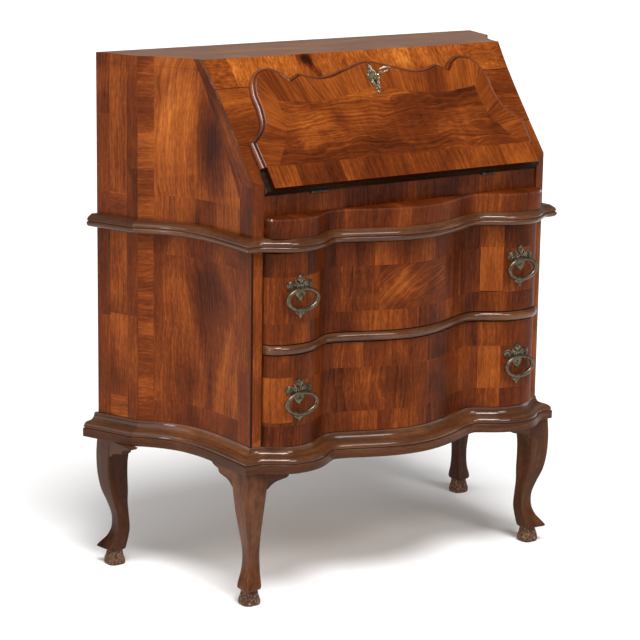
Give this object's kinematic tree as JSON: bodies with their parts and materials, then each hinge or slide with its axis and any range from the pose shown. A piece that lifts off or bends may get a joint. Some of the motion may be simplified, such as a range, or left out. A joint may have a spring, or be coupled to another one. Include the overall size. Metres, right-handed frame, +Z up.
{
  "type": "fall-front cabinet",
  "caption": "Walnut-veneered writing cabinet on cabriole legs, with a sloping fall that opens to a desk, serpentine drawers below and swinging ring pulls.",
  "frame": {"origin": "on the floor, under the middle of the overall box", "axes": "+Z up, -Y out of the front, +X to the right of someone who faces the front"},
  "size_m": [0.9738, 0.4396, 1],
  "materials": {
    "walnut": "polished walnut veneer",
    "figured_walnut": "polished figured walnut veneer with cross-banding",
    "dark_walnut": "polished solid walnut, darkened",
    "secondary_wood": "bare softwood",
    "antique_brass": "brass with a dark patina",
    "lock_iron": "dark forged iron"
  },
  "bodies": {
    "case": {"top_board": "walnut", "side_panel_left": "figured_walnut", "side_panel_right": "figured_walnut", "rear_stile_left": "walnut", "rear_stile_right": "walnut", "back_panel": "secondary_wood", "bottom_board": "secondary_wood", "drawer_divider": "secondary_wood", "waist_board": "secondary_wood", "writing_bed": "walnut", "fascia_rail": "figured_walnut", "frieze_rail": "figured_walnut", "slope_rail": "figured_walnut", "waist_moulding_front": "dark_walnut", "waist_moulding_left": "dark_walnut", "waist_moulding_right": "dark_walnut", "base_moulding_front": "dark_walnut", "base_moulding_left": "dark_walnut", "base_moulding_right": "dark_walnut", "divider_bead": "dark_walnut", "leg_front_left": "dark_walnut", "leg_front_right": "dark_walnut", "leg_rear_left": "dark_walnut", "leg_rear_right": "dark_walnut", "gallery_shelf": "walnut", "gallery_divider_left": "walnut", "gallery_divider_right": "walnut", "hinge_case_leaf_left": "antique_brass", "hinge_case_leaf_right": "antique_brass", "hinge_pin_left": "lock_iron", "hinge_pin_right": "lock_iron", "strike_plate": "antique_brass"},
    "fall": {"fall_board": "figured_walnut", "fall_panel": "figured_walnut", "hinge_fall_leaf_left": "antique_brass", "hinge_fall_leaf_right": "antique_brass", "escutcheon": "antique_brass", "lock_case": "lock_iron"},
    "bolt": {"lock_bolt": "lock_iron"},
    "key": {"key": "lock_iron"},
    "drawer_upper": {"drawer_upper_front": "figured_walnut", "drawer_upper_side_left": "secondary_wood", "drawer_upper_side_right": "secondary_wood", "drawer_upper_back": "secondary_wood", "drawer_upper_bottom": "secondary_wood", "drawer_upper_left_plate": "antique_brass", "drawer_upper_right_plate": "antique_brass"},
    "ring_upper_left": {"drawer_upper_left_ring": "antique_brass"},
    "ring_upper_right": {"drawer_upper_right_ring": "antique_brass"},
    "drawer_lower": {"drawer_lower_front": "figured_walnut", "drawer_lower_side_left": "secondary_wood", "drawer_lower_side_right": "secondary_wood", "drawer_lower_back": "secondary_wood", "drawer_lower_bottom": "secondary_wood", "drawer_lower_left_plate": "antique_brass", "drawer_lower_right_plate": "antique_brass"},
    "ring_lower_left": {"drawer_lower_left_ring": "antique_brass"},
    "ring_lower_right": {"drawer_lower_right_ring": "antique_brass"}
  },
  "joints": [
    {"name": "fall_hinge", "type": "hinge", "parent": "case", "child": "fall", "pos_m": [0, -0.15575, 0.7685], "axis": [1, 0, 0], "range_deg": [0, 127.5]},
    {"name": "key_turn", "type": "hinge", "parent": "fall", "child": "key", "pos_m": [0, -0.04176, 0.94169], "axis": [0, -0.7934, 0.6088], "range_deg": [0, 180]},
    {"name": "bolt_slide", "type": "slide", "parent": "fall", "child": "bolt", "axis": [0, 0.6088, 0.7934], "range_m": [0, 0.008]},
    {"name": "drawer_upper_slide", "type": "slide", "parent": "case", "child": "drawer_upper", "axis": [0, -1, 0], "range_m": [0, 0.25]},
    {"name": "drawer_lower_slide", "type": "slide", "parent": "case", "child": "drawer_lower", "axis": [0, -1, 0], "range_m": [0, 0.25]},
    {"name": "ring_upper_left_swing", "type": "hinge", "parent": "drawer_upper", "child": "ring_upper_left", "pos_m": [-0.2614, -0.19785, 0.601], "axis": [-1, 0, 0], "range_deg": [0, 95]},
    {"name": "ring_upper_right_swing", "type": "hinge", "parent": "drawer_upper", "child": "ring_upper_right", "pos_m": [0.2614, -0.19785, 0.601], "axis": [-1, 0, 0], "range_deg": [0, 95]},
    {"name": "ring_lower_left_swing", "type": "hinge", "parent": "drawer_lower", "child": "ring_lower_left", "pos_m": [-0.2614, -0.19785, 0.406], "axis": [-1, 0, 0], "range_deg": [0, 95]},
    {"name": "ring_lower_right_swing", "type": "hinge", "parent": "drawer_lower", "child": "ring_lower_right", "pos_m": [0.2614, -0.19785, 0.406], "axis": [-1, 0, 0], "range_deg": [0, 95]}
  ],
  "couplings": [
    {"joint": "bolt_slide", "follows": "key_turn", "m_per_rad": 0.002546}
  ]
}
